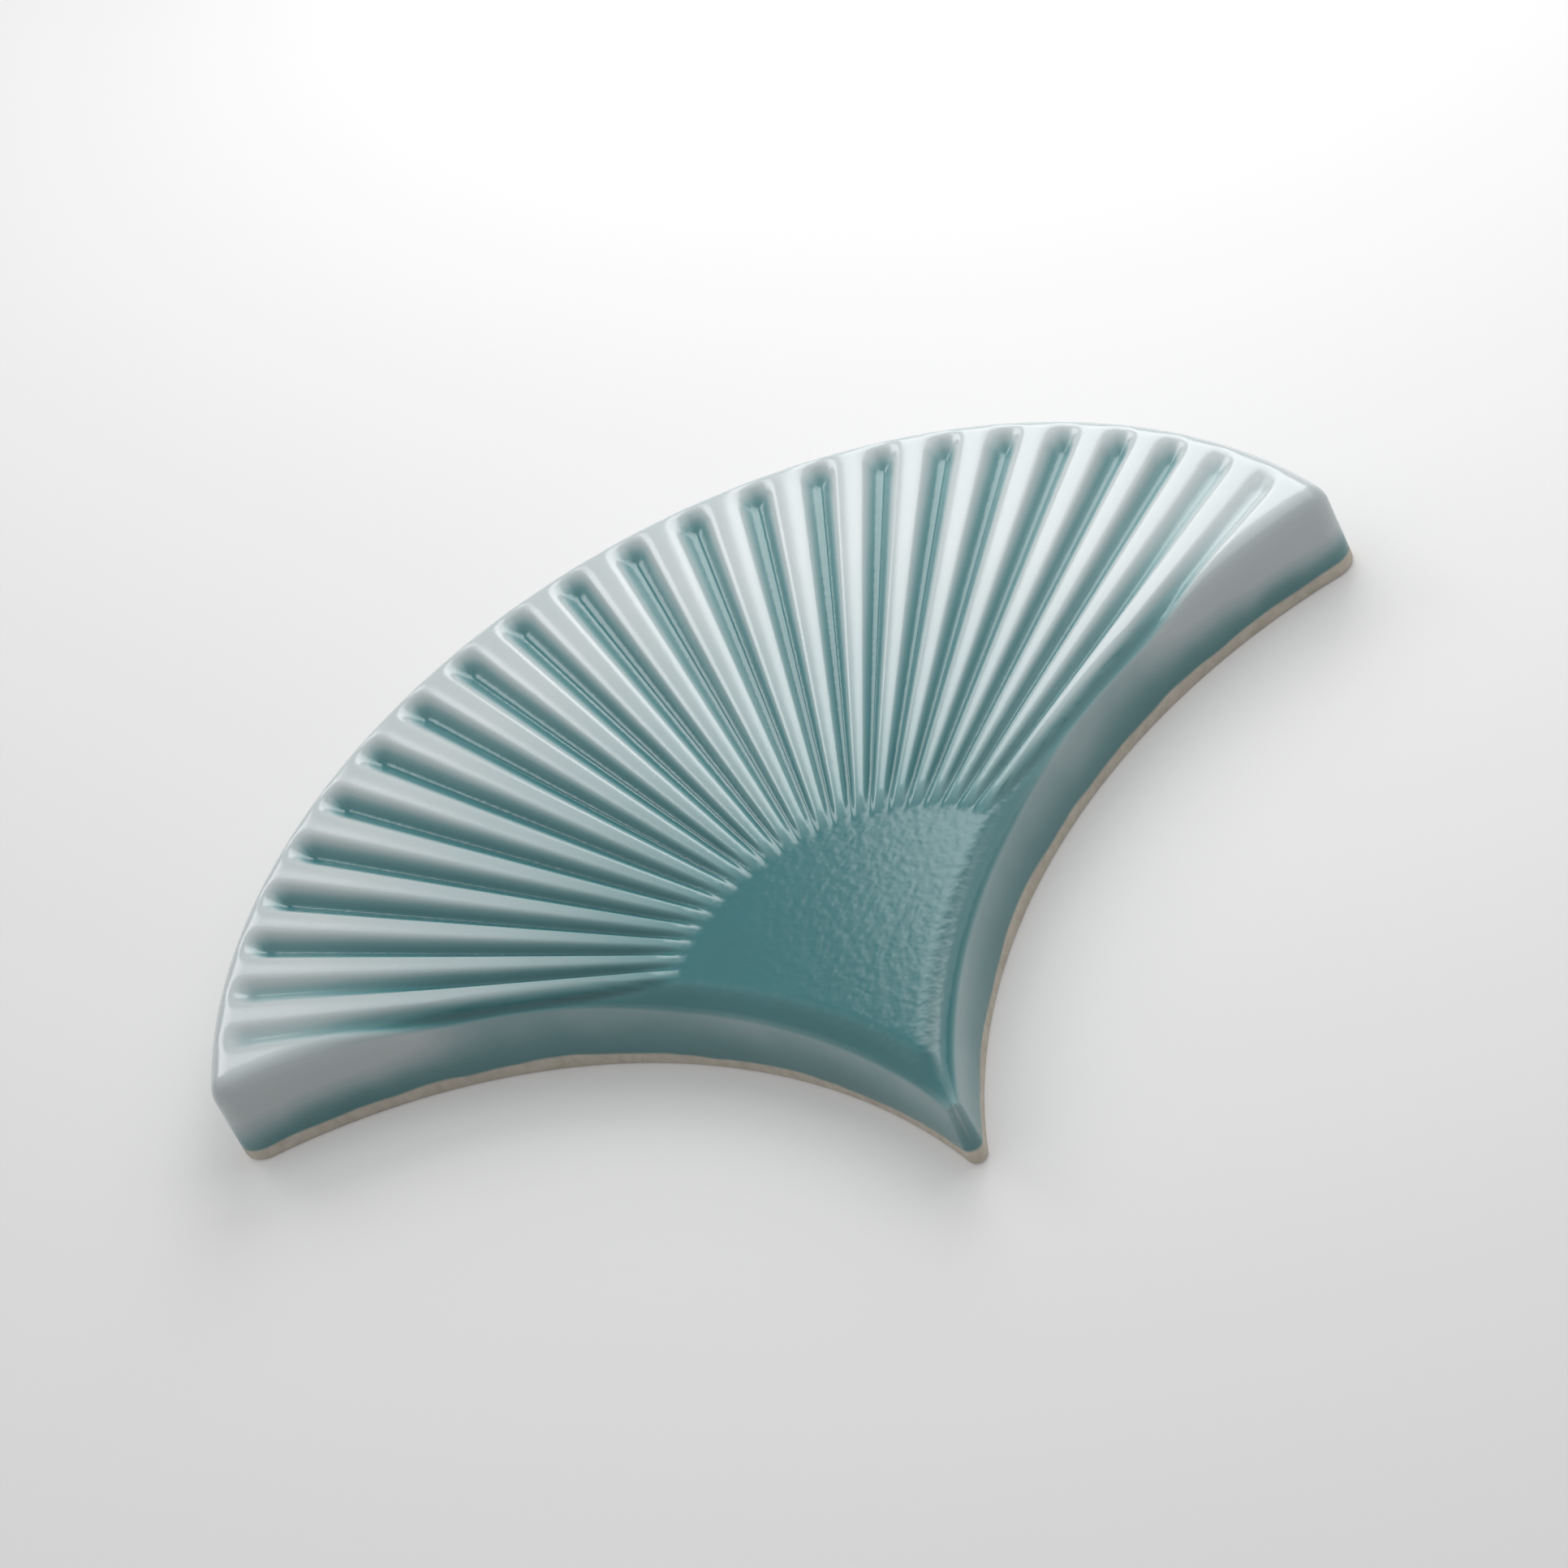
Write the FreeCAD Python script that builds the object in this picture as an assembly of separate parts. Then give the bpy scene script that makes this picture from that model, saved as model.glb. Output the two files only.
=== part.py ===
import FreeCAD, Part
import math
import os

# A fish scale wall tile, pressed and fired in one piece, in millimetres.
# The origin is the centre of the crown arc, on the flat bedding face.
# +X runs across the tile, +Y towards the crown, +Z out of the glazed face.

# Setting out: these make the tile lock with its neighbours on the wall.
crown_radius = 60.0
joint_width = 2.5
row_pitch = 52.5

# Outline, in plan, at the bedding face.
corner_radius = 2.5
tail_radius = 1.0

# Body: from the bedding face up to the smooth tail.
body_thickness = 8.0
wall_draft_angle = 2.0
edge_rounding = 1.5
rounding_steps = 4

# Fan of flutes: round ridges that rise out of the body and run to the crown's rim.
ridge_count = 22
ridge_pitch_angle = 5.5
ridge_start = 18.0
ridge_burial = 0.55
flute_rise = 1.6
fan_drop = 14.4

# Rim and side shoulders, which frame the fan at the height of its ridges.
rim_width = 2.6
rim_slope_angle = 37.0
rim_rounding = 2.2
relief_inset = 0.3
shoulder_angle = 64.6
shoulder_start = 42.0

# Keying grooves in the bedding face, which hold the adhesive.
key_count = 5
key_width = 4.0
key_depth = 0.8
key_pitch = 14.0
key_border = 6.0


def flank_centre():
    """Centre of the neighbouring crown that the right flank goes round."""
    column_pitch = 2 * crown_radius + joint_width
    return FreeCAD.Vector(column_pitch / 2, -row_pitch, 0)


def circles_meet(centre_a, radius_a, centre_b, radius_b):
    """The upper of the two points where two circles in the XY plane cross."""
    between = centre_b - centre_a
    span = between.Length
    along = (radius_a ** 2 - radius_b ** 2 + span ** 2) / (2 * span)
    aside = math.sqrt(radius_a ** 2 - along ** 2)
    forward = between / span
    sideways = FreeCAD.Vector(-forward.y, forward.x, 0)
    return centre_a + forward * along + sideways * aside


def mirrored(point):
    """The same point on the left half of the tile."""
    return FreeCAD.Vector(-point.x, point.y, point.z)


def on_line(start, through, distance):
    """The point at a distance from start, on the line towards another point."""
    step = through - start
    return start + step * (distance / step.Length)


def outline(inset, height):
    """The tile's outline, moved inwards by an inset, as a wire of six arcs."""
    origin = FreeCAD.Vector(0, 0, 0)
    flank = flank_centre()
    crown = crown_radius - inset
    hollow = crown_radius + joint_width + inset

    corner = circles_meet(origin, crown - corner_radius, flank, hollow + corner_radius)
    tail_rise = math.sqrt((hollow + tail_radius) ** 2 - flank.x ** 2)
    tail = FreeCAD.Vector(0, flank.y + tail_rise, 0)

    crown_end = on_line(origin, corner, crown)
    flank_start = on_line(flank, corner, hollow)
    flank_end = on_line(flank, tail, hollow)
    corner_out = (crown_end - corner) + (flank_start - corner)
    corner_mid = corner + corner_out * (corner_radius / corner_out.Length)
    flank_chord = (flank_start + flank_end) / 2
    flank_mid = on_line(flank, flank_chord, hollow)
    tail_tip = tail - FreeCAD.Vector(0, tail_radius, 0)
    crown_top = FreeCAD.Vector(0, crown, 0)

    arcs = [
        Part.Arc(mirrored(crown_end), crown_top, crown_end),
        Part.Arc(crown_end, corner_mid, flank_start),
        Part.Arc(flank_start, flank_mid, flank_end),
        Part.Arc(flank_end, tail_tip, mirrored(flank_end)),
        Part.Arc(mirrored(flank_end), mirrored(flank_mid), mirrored(flank_start)),
        Part.Arc(mirrored(flank_start), mirrored(corner_mid), mirrored(crown_end)),
    ]
    wire = Part.Wire([arc.toShape() for arc in arcs])
    wire.translate(FreeCAD.Vector(0, 0, height))
    return wire


def pillow(bottom, top, inset, rounding):
    """A slab with the tile's outline, leaning walls and a rounded upper edge."""
    lean = math.tan(math.radians(wall_draft_angle))
    spring = top - rounding
    sections = [outline(inset + bottom * lean, bottom)]
    for step in range(rounding_steps + 1):
        turn = math.radians(90.0 * step / rounding_steps)
        in_by = inset + spring * lean + rounding * (1 - math.cos(turn))
        sections.append(outline(in_by, spring + rounding * math.sin(turn)))
    return Part.makeLoft(sections, True, True)


def fan_reach(angle):
    """Distance from the fan's centre to the crown arc, at an angle from +Y."""
    across = fan_drop * math.sin(angle)
    return fan_drop * math.cos(angle) + math.sqrt(crown_radius ** 2 - across ** 2)


def ridge(angle, start):
    """A slender cone that lies on its side and rises out of the body at its start."""
    direction = FreeCAD.Vector(math.sin(angle), math.cos(angle), 0)
    fan_centre = FreeCAD.Vector(0, -fan_drop, body_thickness - ridge_burial)
    growth = flute_rise / (fan_reach(angle) - rim_width - start)
    lead_in = ridge_burial / growth / 2
    first = start - lead_in
    last = fan_reach(angle) + rim_width
    first_radius = ridge_burial - growth * lead_in
    last_radius = ridge_burial + growth * (last - start)
    place = fan_centre + direction * first
    return Part.makeCone(first_radius, last_radius, last - first, place, direction)


def ridges():
    """The flutes' ridges, and the shoulder that fills each side corner."""
    pitch = math.radians(ridge_pitch_angle)
    outermost = pitch * (ridge_count - 1) / 2
    flutes = [ridge(index * pitch - outermost, ridge_start) for index in range(ridge_count)]
    side = math.radians(shoulder_angle)
    return flutes + [ridge(-side, shoulder_start), ridge(side, shoulder_start)]


def crown_rim():
    """The rim that the flutes run into, as a ring with a sloping inner wall."""
    below = 2 * ridge_burial
    above = flute_rise + ridge_burial
    slope = math.tan(math.radians(rim_slope_angle))
    foot = FreeCAD.Vector(0, 0, body_thickness - below)
    upward = FreeCAD.Vector(0, 0, 1)
    foot_radius = crown_radius - rim_width - slope * (flute_rise + below)
    mouth_radius = crown_radius - rim_width + slope * ridge_burial
    disc = Part.makeCylinder(crown_radius + rim_width, below + above, foot, upward)
    hollow = Part.makeCone(foot_radius, mouth_radius, below + above, foot, upward)
    return disc.cut(hollow)


def keying_grooves():
    """Shallow straight grooves across the bedding face, inside a plain border."""
    upward = FreeCAD.Vector(0, 0, key_depth)
    field = Part.Face(outline(key_border, 0)).extrude(upward)
    bars = []
    for row in range(key_count):
        middle = (row - 0.5) * key_pitch
        corner = FreeCAD.Vector(-crown_radius, middle - key_width / 2, 0)
        bars.append(Part.makeBox(2 * crown_radius, key_width, key_depth, corner))
    return field.common(Part.makeCompound(bars))


def fan_tile():
    """The whole tile: body, fan relief and keyed back, as one solid."""
    body = pillow(0, body_thickness, 0, edge_rounding).cut(keying_grooves())
    relief_top = body_thickness + flute_rise
    envelope = pillow(body_thickness / 2, relief_top, relief_inset, rim_rounding)
    relief = crown_rim().multiFuse(ridges()).common(envelope)
    return body.fuse(relief).removeSplitter()


os.makedirs("parts", exist_ok=True)
tile = fan_tile().Solids[0]
tile.exportStep("parts/fan_tile.step")
print("valid", tile.isValid(), "faces", len(tile.Faces), "volume", round(tile.Volume))
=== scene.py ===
# %% [markdown]
# # A fluted fish scale tile
#
# The real tile is one pressed piece of clay with a thick teal glaze. A fan of round flutes runs from a
# smooth tail to a plain rim. The glaze is thin and pale on the flutes' crests, and deep and dark in the
# grooves.
#
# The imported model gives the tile's true size and place. It is loaded first, and everything else is made
# to fit it.

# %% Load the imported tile
import math

import bmesh
import bpy
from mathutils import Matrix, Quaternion, Vector


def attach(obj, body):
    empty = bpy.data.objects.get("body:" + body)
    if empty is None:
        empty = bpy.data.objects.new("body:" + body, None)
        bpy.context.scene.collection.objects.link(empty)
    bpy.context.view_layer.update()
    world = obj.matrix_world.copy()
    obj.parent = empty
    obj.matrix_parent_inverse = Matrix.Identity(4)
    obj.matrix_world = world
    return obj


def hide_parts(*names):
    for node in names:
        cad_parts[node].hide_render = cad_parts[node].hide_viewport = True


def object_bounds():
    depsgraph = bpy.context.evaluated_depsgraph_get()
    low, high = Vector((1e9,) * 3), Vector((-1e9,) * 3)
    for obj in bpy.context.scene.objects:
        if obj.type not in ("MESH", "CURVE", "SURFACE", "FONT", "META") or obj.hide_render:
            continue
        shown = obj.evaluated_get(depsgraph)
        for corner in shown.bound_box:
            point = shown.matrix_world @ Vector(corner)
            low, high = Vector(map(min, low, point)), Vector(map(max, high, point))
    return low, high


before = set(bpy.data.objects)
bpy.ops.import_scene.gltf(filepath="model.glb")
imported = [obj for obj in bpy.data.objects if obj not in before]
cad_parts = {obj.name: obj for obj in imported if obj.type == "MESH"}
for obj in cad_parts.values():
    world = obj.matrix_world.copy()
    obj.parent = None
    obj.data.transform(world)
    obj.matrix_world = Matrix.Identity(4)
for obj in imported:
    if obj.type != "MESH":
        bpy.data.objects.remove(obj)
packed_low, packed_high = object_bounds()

mm = 0.001
packed_size = (packed_high - packed_low) / mm
print("packed tile, mm:", [round(length, 2) for length in packed_size])

# %% [markdown]
# ## Sizes
#
# A tile of this kind is set out from circles. Its crown is one circle, and each hollow flank goes round
# the crown of a neighbour, with the joint between them. These numbers are the same as in the packed
# model, so the dressed tile fills the same space.

# %% The tile's sizes
sizes = {
    "Crown radius": 60.0 * mm,
    "Joint width": 2.5 * mm,
    "Row pitch": 52.5 * mm,
    "Corner radius": 2.5 * mm,
    "Tail radius": 1.0 * mm,
    "Body thickness": 8.0 * mm,
    "Wall lean": math.tan(math.radians(2.0)),
    "Ridge pitch": math.radians(5.5),
    "Flutes per side": 11.0,
    "Fan drop": 14.4 * mm,
    "Flute rise": 1.6 * mm,
}
print("setting-out sizes:", len(sizes))

# %% [markdown]
# ## How to make the face
#
# The flutes could be carved by booleans, or sculpted. Here the whole face is one grid that a rule bends
# into shape, because every flute follows the same rule and only the angle changes. Geometry Nodes suit
# that: the tree works out each vertex of a flat grid from its column and row.
#
# Such a tree is mostly arithmetic. The small class below lets Python's own signs add the Math nodes, so
# that a rule in the tree reads like a formula.

# %% Formulas that build Math nodes
class Field:
    """A number in the node tree. Arithmetic on it adds Math nodes to the tree."""

    tree = None

    def __init__(self, socket):
        self.socket = socket

    def __add__(self, other):
        return maths("ADD", self, other)

    def __sub__(self, other):
        return maths("SUBTRACT", self, other)

    def __rsub__(self, other):
        return maths("SUBTRACT", other, self)

    def __mul__(self, other):
        return maths("MULTIPLY", self, other)

    def __truediv__(self, other):
        return maths("DIVIDE", self, other)

    def __rtruediv__(self, other):
        return maths("DIVIDE", other, self)

    __radd__ = __add__
    __rmul__ = __mul__


def maths(operation, *operands):
    """One Math node on one to three operands, each a plain number or a Field."""
    node = Field.tree.nodes.new("ShaderNodeMath")
    node.operation = operation
    for socket, operand in zip(node.inputs, operands):
        if isinstance(operand, Field):
            Field.tree.links.new(operand.socket, socket)
        else:
            socket.default_value = operand
    return Field(node.outputs[0])


def clamp01(field):
    return maths("MINIMUM", maths("MAXIMUM", field, 0.0), 1.0)


def ease(field, low, high):
    """0 below low, 1 above high, and a smooth step between."""
    share = clamp01((field - low) / (high - low))
    return share * share * (3.0 - 2.0 * share)


def blend(first, second, share):
    return first + (second - first) * share


def squared(field):
    return field * field


def root(field):
    return maths("SQRT", maths("MAXIMUM", field, 0.0))


# %% [markdown]
# ## A tree with named inputs
#
# Sizes that are inputs of the tree can be changed in one place. Next to the setting-out sizes there are
# two more kinds. The grid's cells are spent where they show: many across a flute, whose highlight has to
# stay smooth, and few down the plain wall. The soft forms are what pressing and glazing make of a sharp
# drawing: the rolls at the edges, the channels between the flutes, and the rim.

# %% Name the tree's inputs
grid_cells = {
    "Flute cells": 16.0,
    "Plain cells": 32.0,
    "Fan rows": 124.0,
    "Tail rows": 40.0,
    "Turn rows": 8.0,
    "Roll rings": 9.0,
    "Wall rings": 3.0,
    "Foot rings": 3.0,
}
soft_forms = {
    "Seam angle": math.radians(42.0),
    "Crown spring": 7.2 * mm,
    "Tail spring": 6.3 * mm,
    "Crown roll": 2.2 * mm,
    "Tail roll": 3.4 * mm,
    "Foot radius": 0.4 * mm,
    "Channel share": 0.67,
    "Crest share": 0.15,
    "Groove share": 0.86,
    "Groove cut": 0.18 * mm,
    "Ridge start": 17.6 * mm,
    "Tip height": 0.3 * mm,
    "Rim width": 1.3 * mm,
    "Rim slope": 3.4 * mm,
}


def new_tree(name, labels):
    """An empty Geometry Nodes tree with float inputs, and those inputs as Fields."""
    tree = bpy.data.node_groups.new(name, "GeometryNodeTree")
    for label in labels:
        tree.interface.new_socket(name=label, in_out="INPUT", socket_type="NodeSocketFloat")
    tree.interface.new_socket(name="Geometry", in_out="OUTPUT", socket_type="NodeSocketGeometry")
    group_input = tree.nodes.new("NodeGroupInput")
    Field.tree = tree
    return tree, {label: Field(group_input.outputs[label]) for label in labels}


press_inputs = {**sizes, **grid_cells, **soft_forms}
press, value = new_tree("pressed_face", press_inputs)
print("tree inputs:", len(press_inputs))

# %% [markdown]
# ## Rows and columns
#
# The grid is read like a cloth. Its columns follow the flutes, and its rows cross them from flank to
# flank. The outermost cells on three sides are rings: they roll over the edge, run down the wall and
# round the foot. Below the fan nothing needs such narrow columns, so there they are snapped together, and
# more so near the tail's tip, and merged later.

# %% Count the grid's cells
inner_columns = value["Flute cells"] * (value["Flutes per side"] - 1.0) + value["Plain cells"]
ring_count = value["Roll rings"] + value["Wall rings"] + value["Foot rings"]
inner_rows = value["Tail rows"] + value["Fan rows"]
columns_total = (inner_columns + ring_count) * 2.0
rows_total = value["Turn rows"] + inner_rows + ring_count

grid = press.nodes.new("GeometryNodeMeshGrid")
for label, count in (("X", columns_total), ("Y", rows_total)):
    press.links.new(count.socket, grid.inputs["Size " + label])
    press.links.new((count + 1.0).socket, grid.inputs["Vertices " + label])
print("nodes that count the cells:", len(press.nodes))

# %% Find each vertex's place in the grid
tail_step = 4.0
tip_step = 16.0
tip_rows_share = 0.4

place = press.nodes.new("ShaderNodeSeparateXYZ")
press.links.new(press.nodes.new("GeometryNodeInputPosition").outputs[0], place.inputs[0])
across = maths("ROUND", Field(place.outputs["X"]))
row = maths("ROUND", Field(place.outputs["Y"]) + rows_total * 0.5)
side = maths("SIGN", across)
column = maths("ABSOLUTE", across)

ring_by_column = maths("MAXIMUM", column - inner_columns, 0.0)
ring_by_row = maths("MAXIMUM", row - value["Turn rows"] - inner_rows, 0.0)
ring = maths("MAXIMUM", ring_by_column, ring_by_row)

inner_row = maths("MINIMUM", maths("MAXIMUM", row - value["Turn rows"], 0.0), inner_rows)
in_tail = maths("LESS_THAN", inner_row, value["Tail rows"] - 0.5)
near_tip = maths("LESS_THAN", inner_row, value["Tail rows"] * tip_rows_share)
step = 1.0 + in_tail * (tail_step - 1.0) + near_tip * (tip_step - tail_step)
inner_column = maths("ROUND", maths("MINIMUM", column, inner_columns) / step) * step
print("nodes that place the cells:", len(press.nodes))

# %% [markdown]
# ## The outline's circles
#
# Each row ends on the hollow flank, a little inside it. The angle round the flank's centre grows from the
# tail's tip to the side corner. A row itself is an arc. It is nearly straight in the tail, and it becomes
# the crown's own circle at the top. Everything is worked out for the right half, and the left half
# mirrors it.

# %% Follow the flank from the tail to the side corner
flank_x = value["Crown radius"] + value["Joint width"] * 0.5
flank_y = value["Row pitch"] * -1.0
hollow = value["Crown radius"] + value["Joint width"]

tail_angle = maths("ARCCOSINE", flank_x / (hollow + value["Tail radius"]))
corner_crown = value["Crown radius"] - value["Corner radius"]
corner_hollow = hollow + value["Corner radius"]
centres_apart = root(squared(flank_x) + squared(flank_y))
at_flank = (squared(centres_apart) + squared(corner_hollow) - squared(corner_crown)) / (
    centres_apart * corner_hollow * 2.0
)
corner_angle = maths("ARCTAN2", value["Row pitch"], flank_x) + maths("ARCCOSINE", at_flank)

tail_share = clamp01(inner_row / value["Tail rows"])
fan_share = clamp01((inner_row - value["Tail rows"]) / value["Fan rows"])
seam_to_row = (corner_angle - value["Seam angle"]) * fan_share
row_angle = blend(tail_angle, value["Seam angle"], tail_share) + seam_to_row
fan_angle = value["Seam angle"] + seam_to_row
inset = blend(value["Tail radius"], value["Corner radius"], tail_share)
print("nodes that follow the flank:", len(press.nodes))

# %% Bend each row into an arc


def flank_point(angle_round_flank, inset_there):
    """A point beside the right flank, at an angle round the flank's centre."""
    radius = hollow + inset_there
    return (
        flank_x - radius * maths("COSINE", angle_round_flank),
        flank_y + radius * maths("SINE", angle_round_flank),
    )


def sagitta(curvature, half_width):
    """How far an arc's middle stands above its ends."""
    bulge = squared(half_width) * curvature
    return bulge / (1.0 + root(1.0 - squared(half_width * curvature)))


seam_x, seam_y = flank_point(value["Seam angle"], value["Corner radius"])
seam_radius = root(squared(seam_x) + squared(seam_y + value["Fan drop"]))
row_radius = blend(seam_radius, corner_crown, fan_share)
row_curvature = tail_share / row_radius
end_x, end_y = flank_point(row_angle, inset)
row_top = end_y + sagitta(row_curvature, end_x)
fan_x, fan_y = flank_point(fan_angle, value["Corner radius"])
fan_top = fan_y + sagitta(1.0 / row_radius, fan_x)
print("nodes that bend the rows:", len(press.nodes))

# %% [markdown]
# ## Columns that follow the flutes
#
# In the fan a column is a straight ray from the fan's centre, so a flute's crest is one clean line of
# vertices and its highlight stays sharp. The last cells beside the flank spread out between the last ray
# and the edge.

# %% Put each column on its ray
rays_per_side = value["Flutes per side"] - 1.0
ray_cells = value["Flute cells"] * rays_per_side
last_ray_angle = value["Ridge pitch"] * rays_per_side
ray_angle = last_ray_angle * maths("MINIMUM", inner_column / ray_cells, 1.0)
fan_reach = fan_top + value["Fan drop"]
reach_share = fan_reach / row_radius
slant = maths("COSINE", ray_angle) * (1.0 - reach_share)
ray_length = fan_reach * (2.0 - reach_share) / (
    slant + root(squared(slant) + reach_share * (2.0 - reach_share))
)
ray_x = ray_length * maths("SINE", ray_angle)
plain_share = clamp01((inner_column - ray_cells) / value["Plain cells"])
column_x = blend(ray_x, fan_x, plain_share) * end_x / fan_x
column_y = row_top - sagitta(row_curvature, column_x)
print("nodes that place the columns:", len(press.nodes))

# %% [markdown]
# ## Edges that roll over
#
# A pressed tile has no sharp edge: the face rolls over and the glaze rounds it further. Each ring of
# cells lies outside the last row or column by a set distance, straight out from the edge. Round a corner
# the rings turn. The roll is wide in the tail and narrower beside the fan.

# %% Find the way out of the tile at each ring
turn_share = clamp01(row / value["Turn rows"])
turned_angle = row_angle + (1.0 - turn_share) * (math.pi / 2 - tail_angle)
crown_direction = maths("ARCTAN2", column_y, column_x)
corner_share = (ring_by_column + ring - ring_by_row) / maths("MAXIMUM", ring * 2.0, 1.0)
ring_direction = blend(crown_direction, turned_angle * -1.0, corner_share)
straight_direction = blend(crown_direction, row_angle * -1.0, corner_share)
print("nodes that turn the rings:", len(press.nodes))

# %% Push the rings outwards and down the wall
roll_narrows_by = 0.4

fan_ease = ease(fan_share, 0.0, roll_narrows_by)
spring = blend(value["Tail spring"], value["Crown spring"], fan_ease)
side_roll = blend(value["Tail roll"], value["Crown roll"], fan_ease)

rolled = maths("MINIMUM", ring, value["Roll rings"]) / value["Roll rings"]
below = maths("MAXIMUM", ring - value["Roll rings"], 0.0)
down_wall = maths("MINIMUM", below / value["Wall rings"], 1.0)
foot_turn = clamp01((below - value["Wall rings"]) / value["Foot rings"]) * (math.pi / 2)
wall_height = spring - (spring - value["Foot radius"]) * down_wall
wall_z = wall_height - value["Foot radius"] * maths("SINE", foot_turn)
edge_inset = wall_height * value["Wall lean"] + value["Foot radius"] * (1.0 - maths("COSINE", foot_turn))
lip = spring * value["Wall lean"]
ring_inset = edge_inset + (inset - lip) * squared(1.0 - rolled)
ring_reach = inset - ring_inset

half_x = column_x + ring_reach * maths("COSINE", ring_direction)
half_y = column_y + ring_reach * maths("SINE", ring_direction)
straight_x = column_x + ring_reach * maths("COSINE", straight_direction)
straight_y = column_y + ring_reach * maths("SINE", straight_direction)
print("nodes that push the rings:", len(press.nodes))

# %% [markdown]
# ## The fan of flutes
#
# The relief is worked out in the fan's own terms: how far a point is from the fan's centre, and at what
# angle. Across a flute it is 1 on the crest and 0 on the groove's floor. The channel share says how much
# of the half flute the soft channel takes, and the crest share blends in a plain cosine, so that the
# crest is round and not flat. The rim and the two plain shoulders close the fan, so the grooves end in
# soft round pockets, and the outermost grooves are fainter there.
#
# All flutes grow towards the rim. Each starts with a small round tip, and the glaze fills the grooves a
# little, which the groove share allows for.

# %% Measure each vertex from the fan's centre and from the edges
from_fan = half_y + value["Fan drop"]
distance = root(squared(half_x) + squared(from_fan))
angle = maths("ARCTAN2", half_x, from_fan)
angle_drop = value["Fan drop"] * maths("SINE", angle)
crown_ahead = root(squared(value["Crown radius"]) - squared(angle_drop))
reach = value["Fan drop"] * maths("COSINE", angle) + crown_ahead
to_crown = value["Crown radius"] - root(squared(half_x) + squared(half_y))
to_near_flank = root(squared(flank_x - straight_x) + squared(straight_y - flank_y)) - hollow
to_far_flank = root(squared(flank_x + straight_x) + squared(straight_y - flank_y)) - hollow
print("nodes that measure:", len(press.nodes))

# %% Shape the flutes, the rim and the shoulders
faint_angles = math.radians(46.0), math.radians(60.0)
faint_distances = 38.0 * mm, 58.0 * mm
faint_most = 0.6

flute = angle / value["Ridge pitch"]
past_fan = maths("GREATER_THAN", flute, value["Flutes per side"])
from_crest = maths("ABSOLUTE", maths("FRACT", flute) - 0.5) * 2.0
from_shoulder = clamp01(1.0 - (flute - value["Flutes per side"]) * 2.0)
from_top = blend(from_crest, from_shoulder, past_fan)
from_floor = maths("MINIMUM", (1.0 - from_top) / value["Channel share"], 1.0)
channel = squared(1.0 - squared(from_floor))
crest = maths("COSINE", from_top * math.pi) * 0.5 + 0.5
ridge = blend(1.0 - channel, crest, value["Crest share"])

rim = 1.0 - ease(to_crown, value["Rim width"], value["Rim width"] + value["Rim slope"])
faint = ease(angle, *faint_angles) * ease(distance, *faint_distances)
relief = 1.0 - (1.0 - ridge) * (1.0 - rim) * (1.0 - faint * faint_most)
print("nodes that shape the relief:", len(press.nodes))

# %% Let the flutes grow towards the rim
tip_length = 3.5 * mm
cut_length = 6.0 * mm
shoulder_rise = 36.0 * mm, 50.0 * mm

start = value["Ridge start"]
along = clamp01((distance - start) / (reach - value["Rim width"] - start))
tip = ease(distance, start, start + tip_length)
shoulder_gate = 1.0 - past_fan * (1.0 - ease(distance, *shoulder_rise))
growth = (value["Tip height"] * tip + (value["Flute rise"] - value["Tip height"]) * along) * shoulder_gate
cut_gate = ease(distance, start, start + cut_length)
groove = 1.0 - relief
height = growth * (1.0 - value["Groove share"] * groove) - value["Groove cut"] * cut_gate * groove
print("nodes that grow the flutes:", len(press.nodes))

# %% Roll the face down to its edges


def roll_over(edge_distance, width):
    """The share of the face's full height at a distance from an edge: a quarter of an ellipse."""
    short = 1.0 - clamp01((edge_distance - lip) / width)
    return root(1.0 - squared(short))


on_ring = maths("GREATER_THAN", ring, 0.5)
far_side = roll_over(to_far_flank, side_roll)
inside = roll_over(to_crown, value["Crown roll"]) * roll_over(to_near_flank, side_roll)
roll = blend(inside, roll_over(ring_inset, side_roll), on_ring) * far_side
face_z = spring + (value["Body thickness"] + height - spring) * roll
on_wall = maths("GREATER_THAN", ring, value["Roll rings"] + 0.5)
vertex_z = blend(face_z, wall_z, on_wall)
print("nodes that roll the edges:", len(press.nodes))

# %% [markdown]
# ## Finish the tree
#
# The glaze's colour follows the relief, so the tree keeps what it knows about each vertex as named
# attributes. Then it moves the vertices, merges the ones that were snapped together, and ends with its
# material.

# %% Keep the relief as attributes, move the vertices and merge
merge_distance = 0.001 * mm
glaze = bpy.data.materials.new("teal_glaze")


def keep(points, label, field):
    """Stores a Field on the points under a name."""
    node = press.nodes.new("GeometryNodeStoreNamedAttribute")
    node.data_type = "FLOAT"
    node.domain = "POINT"
    node.inputs["Name"].default_value = label
    press.links.new(points, node.inputs["Geometry"])
    press.links.new(field.socket, node.inputs["Value"])
    return node.outputs["Geometry"]


geometry = grid.outputs["Mesh"]
geometry = keep(geometry, "flute_height", growth * relief / value["Flute rise"])
geometry = keep(geometry, "relief", relief)
geometry = keep(geometry, "roll", roll)
geometry = keep(geometry, "fan_distance", distance)

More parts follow.
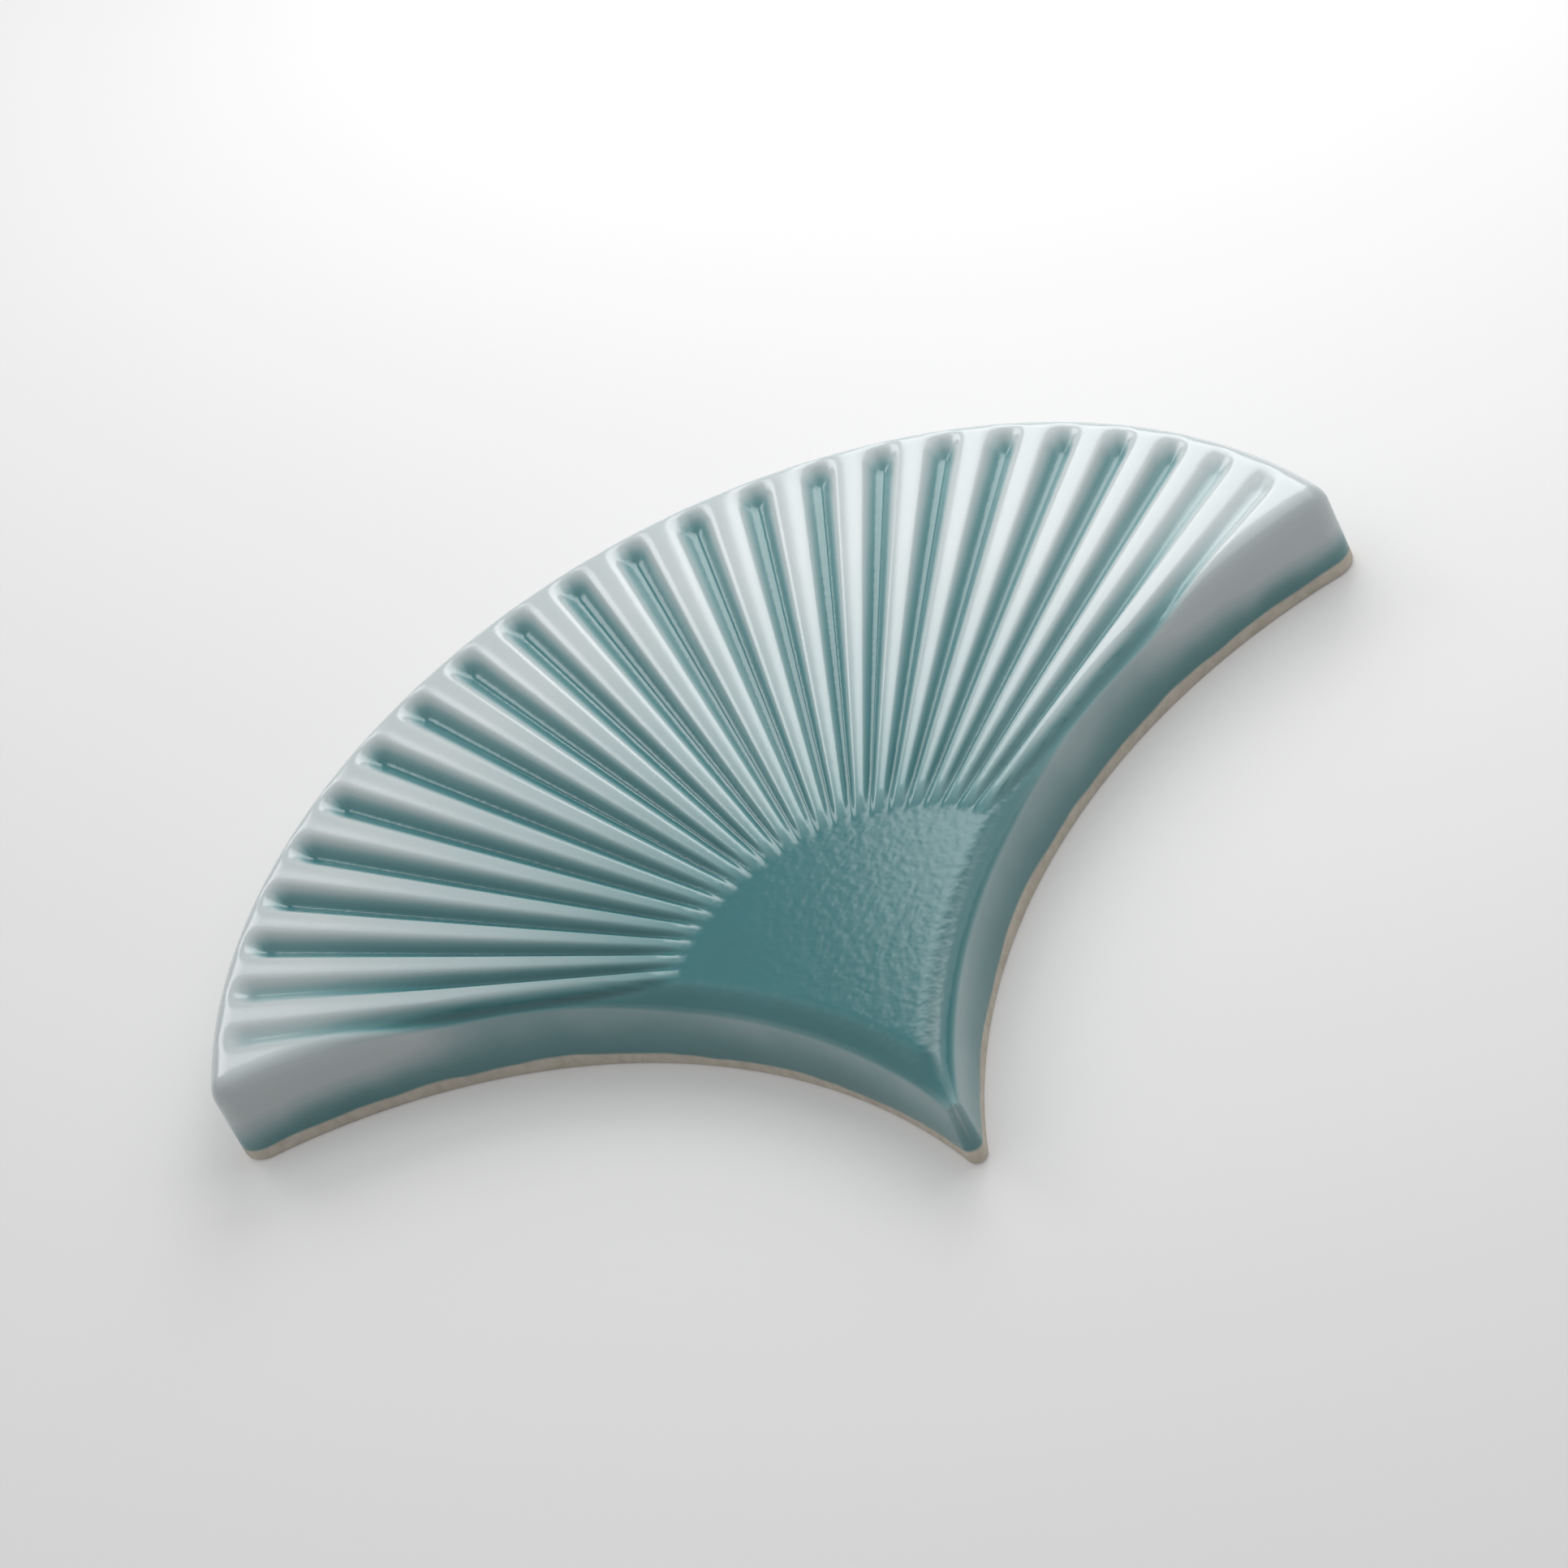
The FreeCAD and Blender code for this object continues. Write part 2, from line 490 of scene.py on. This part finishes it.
point = press.nodes.new("ShaderNodeCombineXYZ")
for label, field in (("X", half_x * side), ("Y", half_y), ("Z", vertex_z)):
    press.links.new(field.socket, point.inputs[label])
for kind in ("SetPosition", "MergeByDistance", "SetShadeSmooth", "RealizeInstances", "SetMaterial"):
    node = press.nodes.new("GeometryNode" + kind)
    press.links.new(geometry, node.inputs["Geometry"])
    geometry = node.outputs["Geometry"]
    if kind == "SetPosition":
        press.links.new(point.outputs[0], node.inputs["Position"])
    if kind == "MergeByDistance":
        node.inputs["Distance"].default_value = merge_distance
    if kind == "SetMaterial":
        node.inputs["Material"].default_value = glaze
press.links.new(geometry, press.nodes.new("NodeGroupOutput").inputs["Geometry"])
print("nodes in the tree:", len(press.nodes))

# %% Press the face


def press_piece(name, tree, values):
    """Runs a tree as a modifier on an empty mesh, and returns the result as a plain object."""
    blank = bpy.data.objects.new(name, bpy.data.meshes.new(name))
    bpy.context.scene.collection.objects.link(blank)
    modifier = blank.modifiers.new(name, "NODES")
    modifier.node_group = tree
    for item in tree.interface.items_tree:
        if item.in_out == "INPUT":
            modifier[item.identifier] = values[item.name]
    evaluated = blank.evaluated_get(bpy.context.evaluated_depsgraph_get())
    mesh = bpy.data.meshes.new_from_object(evaluated)
    # A grid that a node makes has an empty first slot, and the back's faces would fall into it.
    mesh.materials.pop(index=0)
    blank.modifiers.remove(modifier)
    blank.data = mesh
    return blank


tile = press_piece("glazed_fan_tile", press, press_inputs)
print("pressed face:", len(tile.data.vertices), "vertices,", len(tile.data.polygons), "faces")

# %% [markdown]
# ## The keyed back
#
# The back is bare clay. Shallow straight grooves are pressed into it, so that the adhesive can grip. The
# pressed face is still open underneath, and its lowest ring of edges is the rim of that opening. Each
# groove is made as a stack of loops, from its rounded mouth to its floor, and one fill then closes the
# flat clay round them.

# %% The grooves' sizes and loops
key_count = 5
key_pitch = 14.0 * mm
key_width = 4.0 * mm
key_depth = 0.8 * mm
key_border = 6.0 * mm
mouth_radius = 0.25 * mm
floor_radius = 0.3 * mm
round_steps = 4

hollow_radius = sizes["Crown radius"] + sizes["Joint width"]
flank_centre = Vector((sizes["Crown radius"] + sizes["Joint width"] / 2, -sizes["Row pitch"]))


def groove_end(y, border):
    """Half the length of a groove at a height y, where the border round it is that wide."""
    crown = math.sqrt((sizes["Crown radius"] - border) ** 2 - y**2)
    above_flank = (hollow_radius + border) ** 2 - (y - flank_centre.y) ** 2
    if above_flank <= 0:
        return crown
    return min(crown, flank_centre.x - math.sqrt(above_flank))


def groove_loop(middle_y, shrink):
    """A groove's outline in plan, drawn in from its nominal size by shrink."""
    low = middle_y - key_width / 2 + shrink
    high = middle_y + key_width / 2 - shrink
    heights = [low + (high - low) * part / round_steps for part in range(round_steps + 1)]
    right = [(groove_end(y, key_border + shrink), y) for y in heights]
    return right + [(-x, y) for x, y in reversed(right)]


def groove_levels():
    """The loops of a groove from mouth to floor, each as how far it is drawn in and how deep it is."""
    turns = [math.pi / 2 * part / round_steps for part in range(round_steps + 1)]
    mouth = [(-mouth_radius * (1 - math.sin(t)), mouth_radius * (1 - math.cos(t))) for t in turns]
    floor_start = key_depth - floor_radius
    bottom = [(floor_radius * (1 - math.cos(t)), floor_start + floor_radius * math.sin(t)) for t in turns]
    return mouth + bottom


print("loops in a groove:", len(groove_levels()))

# %% Close the back


def open_edges(mesh):
    return [edge for edge in mesh.edges if len(edge.link_faces) == 1]


shape = bmesh.new()
shape.from_mesh(tile.data)
for index in range(key_count):
    middle = (index - 0.5) * key_pitch
    loops = []
    for shrink, depth in groove_levels():
        loops.append([shape.verts.new((x, y, depth)) for x, y in groove_loop(middle, shrink)])
    for lower, upper in zip(loops, loops[1:]):
        for corner in range(len(lower)):
            quad = (lower[corner - 1], lower[corner], upper[corner], upper[corner - 1])
            shape.faces.new(quad).smooth = True
    shape.faces.new(loops[-1])
filled = bmesh.ops.triangle_fill(shape, use_beauty=True, edges=open_edges(shape), normal=(0, 0, -1))
bmesh.ops.recalc_face_normals(shape, faces=shape.faces)
shape.to_mesh(tile.data)
back_faces = [item for item in filled["geom"] if isinstance(item, bmesh.types.BMFace)]
print("faces in the flat of the back:", len(back_faces))
print("edges left open:", len(open_edges(shape)))
shape.free()

# %% [markdown]
# ## The glaze
#
# The glaze is coloured glass over pale clay. Where it is thin the clay shows through, and where it is thick
# the colour is deep. Real glass over clay would render slowly and export badly, so the thickness is worked
# out from the relief instead, and a colour ramp turns it into the colour that is seen. A little painted
# light and painted shade is mixed into that thickness as well.

# %% Small shader helpers
def from_screen(red, green, blue):
    """A colour as it looks on a screen, 0 to 255, as the linear colour that a shader takes."""
    linear = []
    for level in (red, green, blue):
        share = level / 255
        linear.append(share / 12.92 if share <= 0.04045 else ((share + 0.055) / 1.055) ** 2.4)
    return (*linear, 1.0)


glaze.use_nodes = True
Field.tree = glaze.node_tree
nodes = glaze.node_tree.nodes
links = glaze.node_tree.links
shader = nodes["Principled BSDF"]
coordinates = nodes.new("ShaderNodeTexCoord")


def attribute(label):
    """A named attribute of the mesh, as a Field."""
    node = nodes.new("ShaderNodeAttribute")
    node.attribute_name = label
    return Field(node.outputs["Fac"])


def noise(scale, detail):
    """Noise in the tile's own space. Its scale is in waves to the metre."""
    node = nodes.new("ShaderNodeTexNoise")
    node.inputs["Scale"].default_value = scale
    node.inputs["Detail"].default_value = detail
    links.new(coordinates.outputs["Object"], node.inputs["Vector"])
    return Field(node.outputs["Fac"])


def waver(scale, detail, size):
    """Noise about zero, of a given size."""
    return (noise(scale, detail) - 0.5) * size


def ramp(share, stops):
    """A colour ramp through stops of place and colour."""
    node = nodes.new("ShaderNodeValToRGB")
    elements = node.color_ramp.elements
    while len(elements) < len(stops):
        elements.new(0.5)
    for element, (stop, colour) in zip(elements, stops):
        element.position = stop
        element.color = colour
    links.new(share.socket, node.inputs["Fac"])
    return node.outputs["Color"]


def mix_colour(first, second, share):
    """Two colours mixed. A Mix node has sockets for every type, and its colours come after the numbers."""
    node = nodes.new("ShaderNodeMix")
    node.data_type = "RGBA"
    links.new(share.socket, node.inputs[0])
    links.new(first, node.inputs[6])
    links.new(second, node.inputs[7])
    return node.outputs[2]


# %% Read the relief back from the mesh
height_share = clamp01(attribute("flute_height"))
relief_share = attribute("relief")
roll_share = attribute("roll")
fan_distance = attribute("fan_distance")
position = nodes.new("ShaderNodeSeparateXYZ")
links.new(coordinates.outputs["Object"], position.inputs[0])
across_tile = Field(position.outputs["X"])
above_floor = Field(position.outputs["Z"])
print("glaze nodes that read the tile:", len(nodes))

# %% [markdown]
# Molten glaze runs off whatever stands up and gathers in whatever lies low. So it is thin on the crests,
# most of all near the rim where they are highest, and thin where the edge rolls over. It pools in the
# grooves and in a narrow line just inside the rolled edge, and the grooves also get some painted shade. The
# colour is a little paler towards the right as painted light, standing in for the stronger light that falls
# there. A slow mottle keeps all of this from looking drawn.

# %% Work out how thin the glaze is on the face, with painted light and shade
face_thinness = 0.16
crest_thinness = 0.85
rim_thinness = 0.12
# How much paler the right side is painted: painted light for the stronger light that falls there.
right_painted_light = 0.14
edge_thinness = 0.45
edge_pool = 0.06
# How much darker the grooves are made: glaze pools there, and this also adds painted shade.
groove_pool_and_shade = 0.1
mottle = waver(60.0, 3.0, 0.14)

high_and_dry = maths("POWER", height_share, 0.72) * maths("POWER", clamp01(relief_share), 0.6)
thin_on_crest = high_and_dry * crest_thinness
thin_near_rim = ease(fan_distance, 34.0 * mm, 74.0 * mm) * rim_thinness
thin_on_edge = (1.0 - ease(roll_share, 0.2, 0.6)) * edge_thinness
in_fan = ease(fan_distance, 18.0 * mm, 30.0 * mm)
# Painted light: the colour gets paler towards the right, where more light falls. The glaze is not thinner
# there.
painted_light_on_right = ease(across_tile, -20.0 * mm, 50.0 * mm) * in_fan * right_painted_light
pooled_inside_edge = ease(roll_share, 0.55, 0.85) * (1.0 - ease(roll_share, 0.93, 1.0)) * edge_pool
# Darker grooves: partly glaze that pools in them, partly painted shade.
pooled_and_shaded_in_groove = (1.0 - relief_share) * ease(fan_distance, 18.0 * mm, 26.0 * mm) * groove_pool_and_shade

# These sums hold the glaze's real thinness together with the painted light on the right and the painted
# shade in the grooves.
thin_places_and_painted_light = thin_on_crest + thin_near_rim + thin_on_edge + painted_light_on_right
face_thinness_and_painted_light = face_thinness + thin_places_and_painted_light - pooled_inside_edge - pooled_and_shaded_in_groove
print("glaze nodes with the face:", len(nodes))

# %% [markdown]
# Down the wall the glaze runs and thickens, so it goes from thin at the top to thick above the foot, in
# an uneven line.

# %% Add the wall, and turn thickness into colour
wall_thinness = 0.34
wall_run = 1.4 * mm, 8.4 * mm

run_down = above_floor + waver(120.0, 2.0, 2.4 * mm)
wall_share = 1.0 - ease(run_down, *wall_run)
# This thinness carries the painted light and painted shade into the colour and the peel.
thinness_and_painted_light = clamp01(blend(face_thinness_and_painted_light, wall_thinness, wall_share) + mottle)
glaze_colour = ramp(thinness_and_painted_light, [
    (0.0, from_screen(38, 84, 88)),
    (0.16, from_screen(52, 112, 116)),
    (0.42, from_screen(106, 147, 150)),
    (0.7, from_screen(164, 182, 184)),
    (1.0, from_screen(190, 199, 200)),
])
print("glaze nodes with the colour:", len(nodes))

# %% [markdown]
# The glaze stops a little above the foot, in an uneven line, and the bare clay below it is pale and matt.
# On the face the glaze has a fine orange peel, which is smoothed out where it is thin. Fired clay has a
# sandy grain.

# %% Leave the foot and the back bare, and finish the surface
glaze_line = 1.4 * mm + waver(90.0, 2.0, 1.6 * mm)
glazed = ease(above_floor - glaze_line, -0.15 * mm, 0.25 * mm)
clay_colour = ramp(noise(900.0, 4.0), [
    (0.3, from_screen(202, 193, 178)),
    (0.7, from_screen(221, 213, 199)),
])
links.new(mix_colour(clay_colour, glaze_colour, glazed), shader.inputs["Base Color"])

clay_roughness = 0.85
glaze_roughness = 0.2
links.new(blend(clay_roughness, glaze_roughness, glazed).socket, shader.inputs["Roughness"])

thick_peel = 0.034
thin_peel = 0.008
clay_grain = 0.06
peel = noise(1100.0, 1.0) * blend(thick_peel, thin_peel, thinness_and_painted_light)
grain = (1.0 - glazed) * noise(2500.0, 3.0) * clay_grain
bump = nodes.new("ShaderNodeBump")
bump.inputs["Distance"].default_value = 1.0 * mm
links.new((peel + grain).socket, bump.inputs["Height"])
links.new(bump.outputs["Normal"], shader.inputs["Normal"])
print("glaze nodes in all:", len(nodes))

# %% [markdown]
# ## The floor
#
# The tile lies on a plain pale floor. The floor's own colour is a light grey, which takes the tile's
# shadow. More lamps would make it white, but they would burn out the pale crests first. So what the
# camera and the reflections see of it glows a little, hardly at all near the tile and more further away.

# %% Lay the floor
floor_width = 12.0
floor_grey = 0.66
near_glow = 0.14
far_glow = 0.6
glow_grows = 0.08, 0.6

half = floor_width / 2
floor_mesh = bpy.data.meshes.new("floor")
corners = [(-half, -half, 0), (half, -half, 0), (half, half, 0), (-half, half, 0)]
floor_mesh.from_pydata(corners, [], [(0, 1, 2, 3)])
floor = bpy.data.objects.new("floor", floor_mesh)
bpy.context.scene.collection.objects.link(floor)
print("floor width, m:", floor_width)

# %% Paint the floor
floor_paint = bpy.data.materials.new("floor_paint")
floor_paint.use_nodes = True
floor_nodes = floor_paint.node_tree.nodes
floor_links = floor_paint.node_tree.links
floor_nodes.clear()
Field.tree = floor_paint.node_tree

diffuse = floor_nodes.new("ShaderNodeBsdfDiffuse")
diffuse.inputs["Color"].default_value = (floor_grey, floor_grey, floor_grey, 1.0)
glow = floor_nodes.new("ShaderNodeEmission")
paths = floor_nodes.new("ShaderNodeLightPath")
seen = maths("MAXIMUM", Field(paths.outputs["Is Camera Ray"]), Field(paths.outputs["Is Glossy Ray"]))
seen = maths("MAXIMUM", seen, Field(paths.outputs["Is Transmission Ray"]))
floor_place = floor_nodes.new("ShaderNodeTexCoord")
from_tile = floor_nodes.new("ShaderNodeVectorMath")
from_tile.operation = "LENGTH"
floor_links.new(floor_place.outputs["Object"], from_tile.inputs[0])
far_away = ease(Field(from_tile.outputs["Value"]), *glow_grows)
floor_links.new((seen * blend(near_glow, far_glow, far_away)).socket, glow.inputs["Strength"])
both = floor_nodes.new("ShaderNodeAddShader")
floor_links.new(diffuse.outputs[0], both.inputs[0])
floor_links.new(glow.outputs[0], both.inputs[1])
floor_links.new(both.outputs[0], floor_nodes.new("ShaderNodeOutputMaterial").inputs["Surface"])
floor.data.materials.append(floor_paint)
print("floor nodes:", len(floor_nodes))

# %% [markdown]
# ## The light
#
# A glaze shows its shape by what it mirrors, so each lamp is a soft square with a task. The key stands
# behind the tile on the left, and lights the left flank of every flute. The window is close behind the
# tile, whose smooth tail mirrors it as a broad sheen that fades towards the left. A large weak fill on
# the left keeps the grooves there from going black, and a small near one lifts the right. The world adds
# an even light from all round.
#
# The lamps stand so close that the camera would see them in some views, so they are hidden from it.

# %% World
world_strength = 0.33

world = bpy.data.worlds.new("studio")
world.use_nodes = True
background = world.node_tree.nodes["Background"]
background.inputs["Color"].default_value = (1.0, 1.0, 1.0, 1.0)
background.inputs["Strength"].default_value = world_strength
bpy.context.scene.world = world
print("world strength:", world_strength)

# %% Lamps


def softbox(name, direction, distance_off, size, power):
    """A square lamp that faces the tile from a direction. Lengths are in metres, and power is in watts."""
    data = bpy.data.lights.new(name, "AREA")
    data.size = size
    data.energy = power
    lamp = bpy.data.objects.new(name, data)
    towards = Vector(direction).normalized()
    lamp.location = towards * distance_off
    lamp.rotation_mode = "QUATERNION"
    lamp.rotation_quaternion = towards.to_track_quat("Z", "Y")
    lamp.visible_camera = False
    bpy.context.scene.collection.objects.link(lamp)
    print("lamp:", name, power, "W")


softbox("key", direction=(-0.3, 0.79, 0.5), distance_off=0.9, size=0.34, power=1.2)
softbox("window", direction=(0.1, 0.2, 0.15), distance_off=0.27, size=0.16, power=0.31)
softbox("left_fill", direction=(-0.5, 0.3, 0.8), distance_off=0.9, size=1.2, power=2.2)
softbox("right_fill", direction=(0.1, 0.02, 0.16), distance_off=0.19, size=0.16, power=0.11)

# %% [markdown]
# ## The camera
#
# The camera looks down on the tile from its tail's side, and is rolled, so that the fan opens to the
# upper left. A long lens keeps the tile's proportions true.

# %% Camera
camera_azimuth = math.radians(-2.0)
camera_elevation = math.radians(37.5)
camera_roll = math.radians(27.3)
camera_distance = 0.41
camera_aim = Vector((1.5 * mm, 12.7 * mm, 7.7 * mm))

camera_data = bpy.data.cameras.new("camera")
camera_data.lens = 102.0
camera_data.sensor_width = 36.0
camera = bpy.data.objects.new("camera", camera_data)
towards_camera = Vector((
    math.sin(camera_azimuth) * math.cos(camera_elevation),
    -math.cos(camera_azimuth) * math.cos(camera_elevation),
    math.sin(camera_elevation),
))
camera.location = camera_aim + towards_camera * camera_distance
camera.rotation_mode = "QUATERNION"
camera_turn = Quaternion(towards_camera, -camera_roll)
camera.rotation_quaternion = camera_turn @ towards_camera.to_track_quat("Z", "Y")
bpy.context.scene.collection.objects.link(camera)
bpy.context.scene.camera = camera
bpy.context.scene.view_settings.view_transform = "Standard"
print("camera at, m:", [round(length, 3) for length in camera.location])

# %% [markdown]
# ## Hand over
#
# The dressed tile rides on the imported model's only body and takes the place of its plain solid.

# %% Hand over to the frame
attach(tile, "root")
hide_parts("fan_tile")
